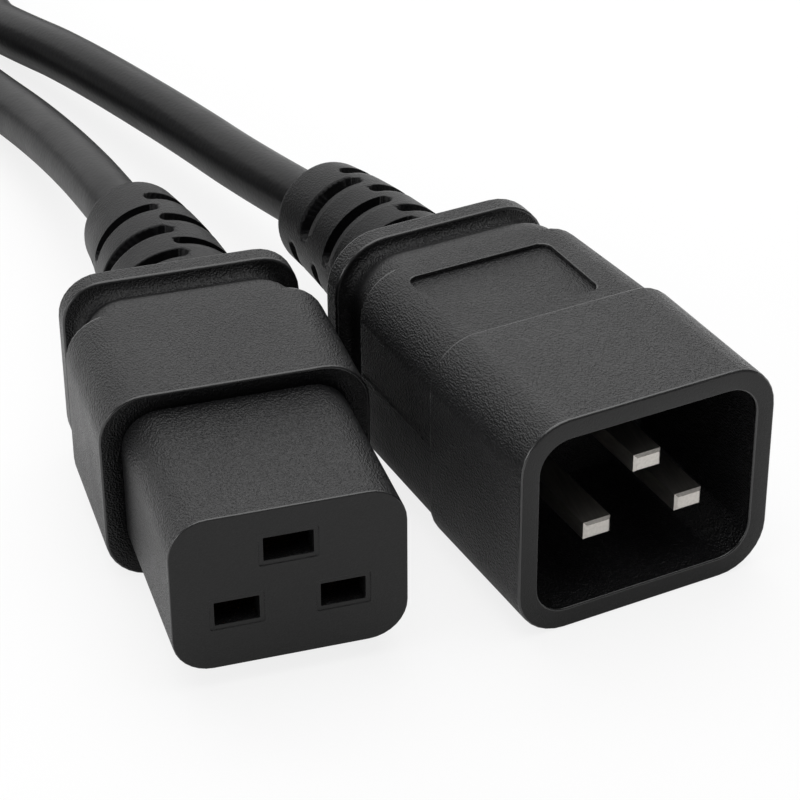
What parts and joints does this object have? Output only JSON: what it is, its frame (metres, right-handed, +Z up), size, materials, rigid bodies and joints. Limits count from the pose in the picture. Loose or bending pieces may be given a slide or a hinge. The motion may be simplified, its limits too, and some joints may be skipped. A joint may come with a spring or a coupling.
{
  "type": "c19 power connector cord set",
  "caption": "Equipment-side mains connector with three horizontal slots, on a short cord that ends in the matching three-pin plug, for linking rack power units",
  "frame": {"origin": "middle of the connector's footprint on the surface that it lies on", "axes": "+Y runs from the connector's slotted face back towards its cord, +X to the right of that, +Z up from the surface"},
  "size_m": [0.1052, 0.3424, 0.0302],
  "materials": {
    "nose_plastic": "fine spark-eroded grain",
    "moulded_pvc": "satin moulded PVC",
    "shroud_plastic": "fine spark-eroded grain",
    "inner_plastic": "plain moulded",
    "cord_jacket": "satin extruded PVC",
    "contact_brass": "stamped and folded",
    "nickel_plate": "satin nickel plate",
    "copper": "stranded bare copper",
    "brown_insulation": "extruded",
    "blue_insulation": "extruded",
    "green_insulation": "extruded"
  },
  "bodies": {
    "root": {"contact_carrier": "nose_plastic", "connector_body": "moulded_pvc", "live_contact": "contact_brass", "neutral_contact": "contact_brass", "earth_contact": "contact_brass", "connector_live_core": "brown_insulation", "connector_neutral_core": "blue_insulation", "connector_earth_core": "green_insulation", "connector_live_strands": "copper", "connector_neutral_strands": "copper", "connector_earth_strands": "copper", "connector_inner_mould": "inner_plastic", "connector_jacket_end": "cord_jacket", "plug_shroud": "shroud_plastic", "pin_bridge": "inner_plastic", "plug_body": "moulded_pvc", "live_pin": "nickel_plate", "neutral_pin": "nickel_plate", "earth_pin": "nickel_plate", "plug_live_core": "brown_insulation", "plug_neutral_core": "blue_insulation", "plug_earth_core": "green_insulation", "plug_live_strands": "copper", "plug_neutral_strands": "copper", "plug_earth_strands": "copper", "plug_inner_mould": "inner_plastic", "plug_jacket_end": "cord_jacket", "cord": "cord_jacket"}
  },
  "joints": []
}
